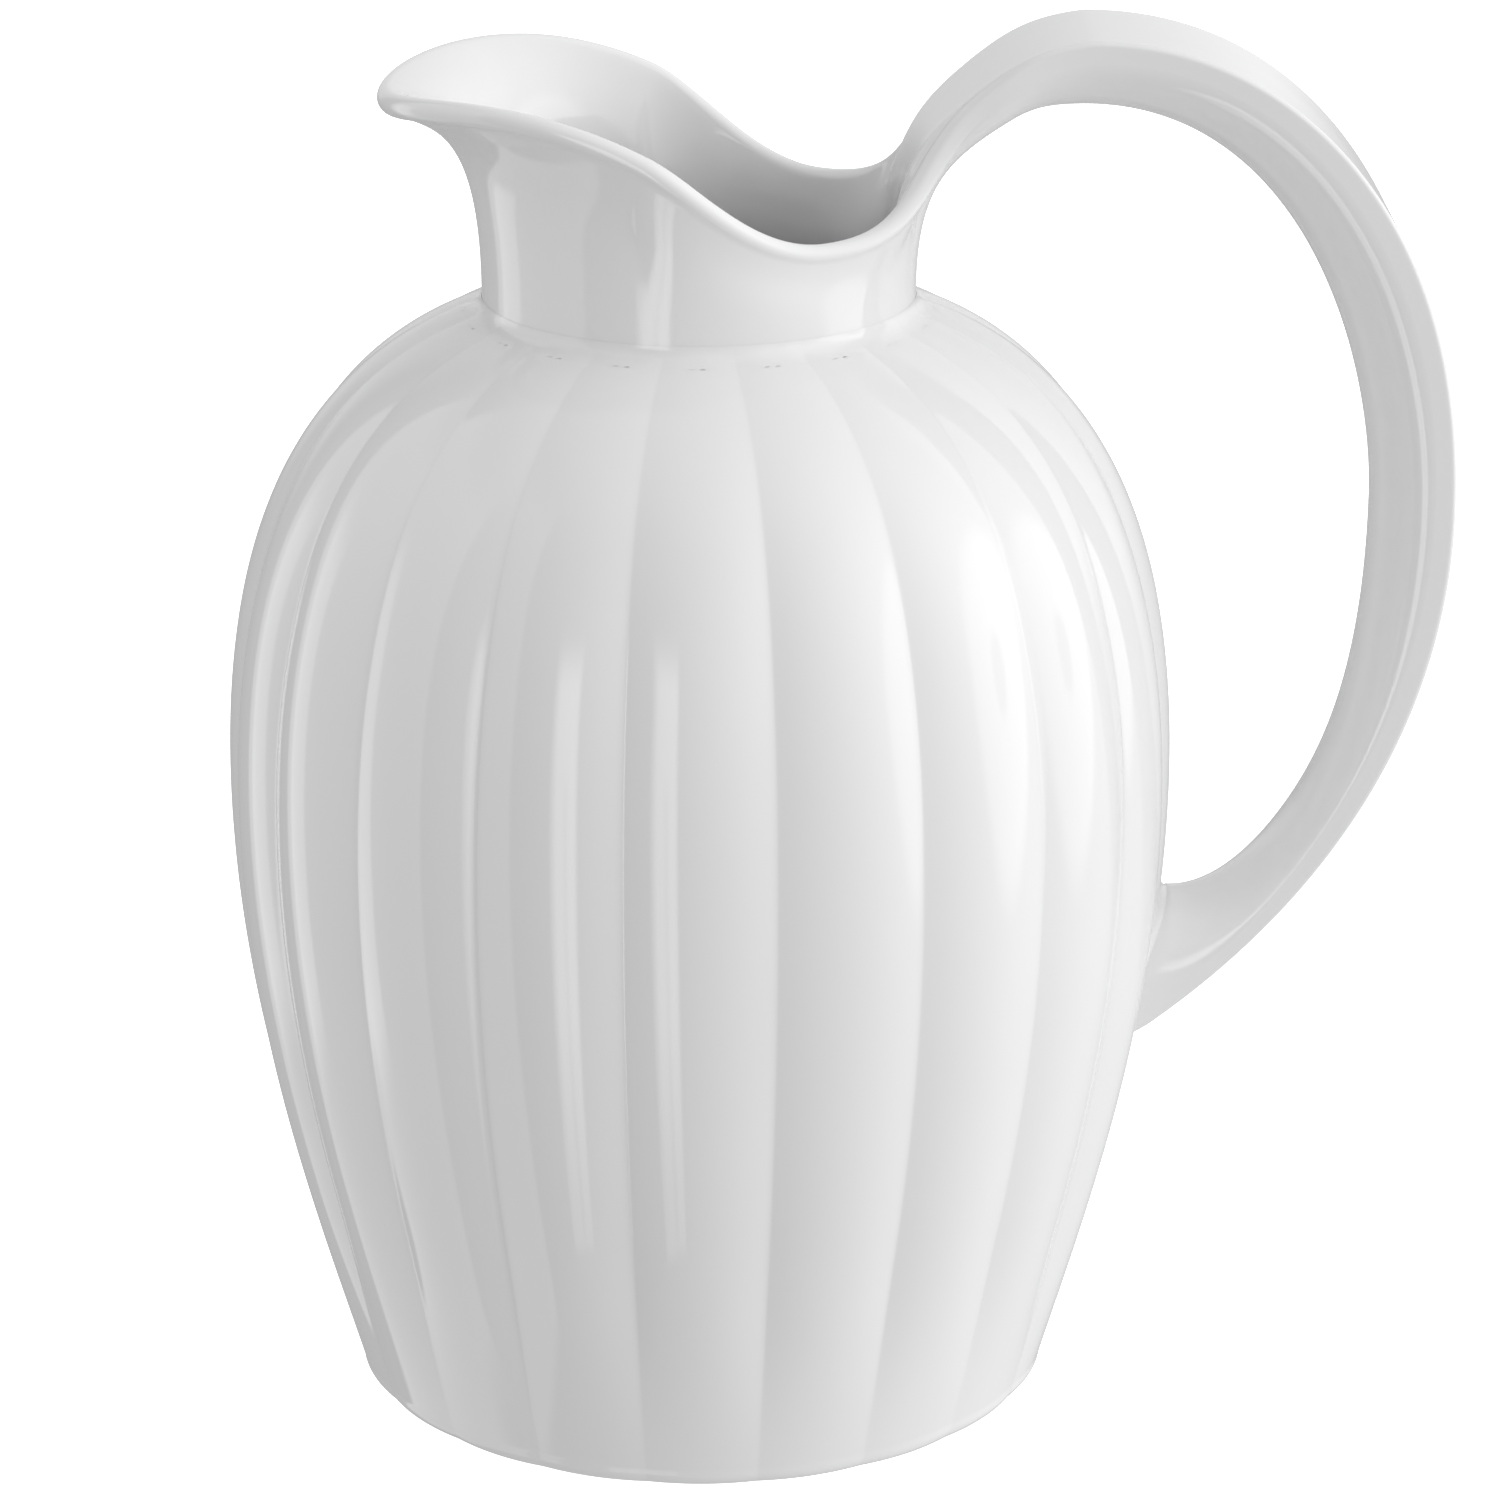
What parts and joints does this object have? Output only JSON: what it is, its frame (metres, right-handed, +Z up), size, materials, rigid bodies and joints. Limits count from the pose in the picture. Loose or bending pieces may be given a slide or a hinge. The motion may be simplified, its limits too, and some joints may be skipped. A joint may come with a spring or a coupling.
{
  "type": "ceramic pitcher",
  "caption": "White glazed ceramic pitcher: lobed ovoid body, flared pouring lip and a tall strap handle that grows out of the rim.",
  "frame": {"origin": "on the body's axis, at the plane that the foot ring stands on", "axes": "+Z up along the body's axis, +X towards the handle, -X towards the pouring lip"},
  "size_m": [0.2053, 0.16, 0.2358],
  "materials": {
    "glaze": "clear gloss glaze over white porcelain",
    "slip": "luting slip under the same gloss glaze",
    "bare_clay": "unglazed, sanded smooth"
  },
  "bodies": {
    "root": {"body": "glaze", "neck": "glaze", "handle": "glaze", "foot_ring": "bare_clay", "neck_joint": "slip", "handle_joint": "slip"}
  },
  "joints": []
}
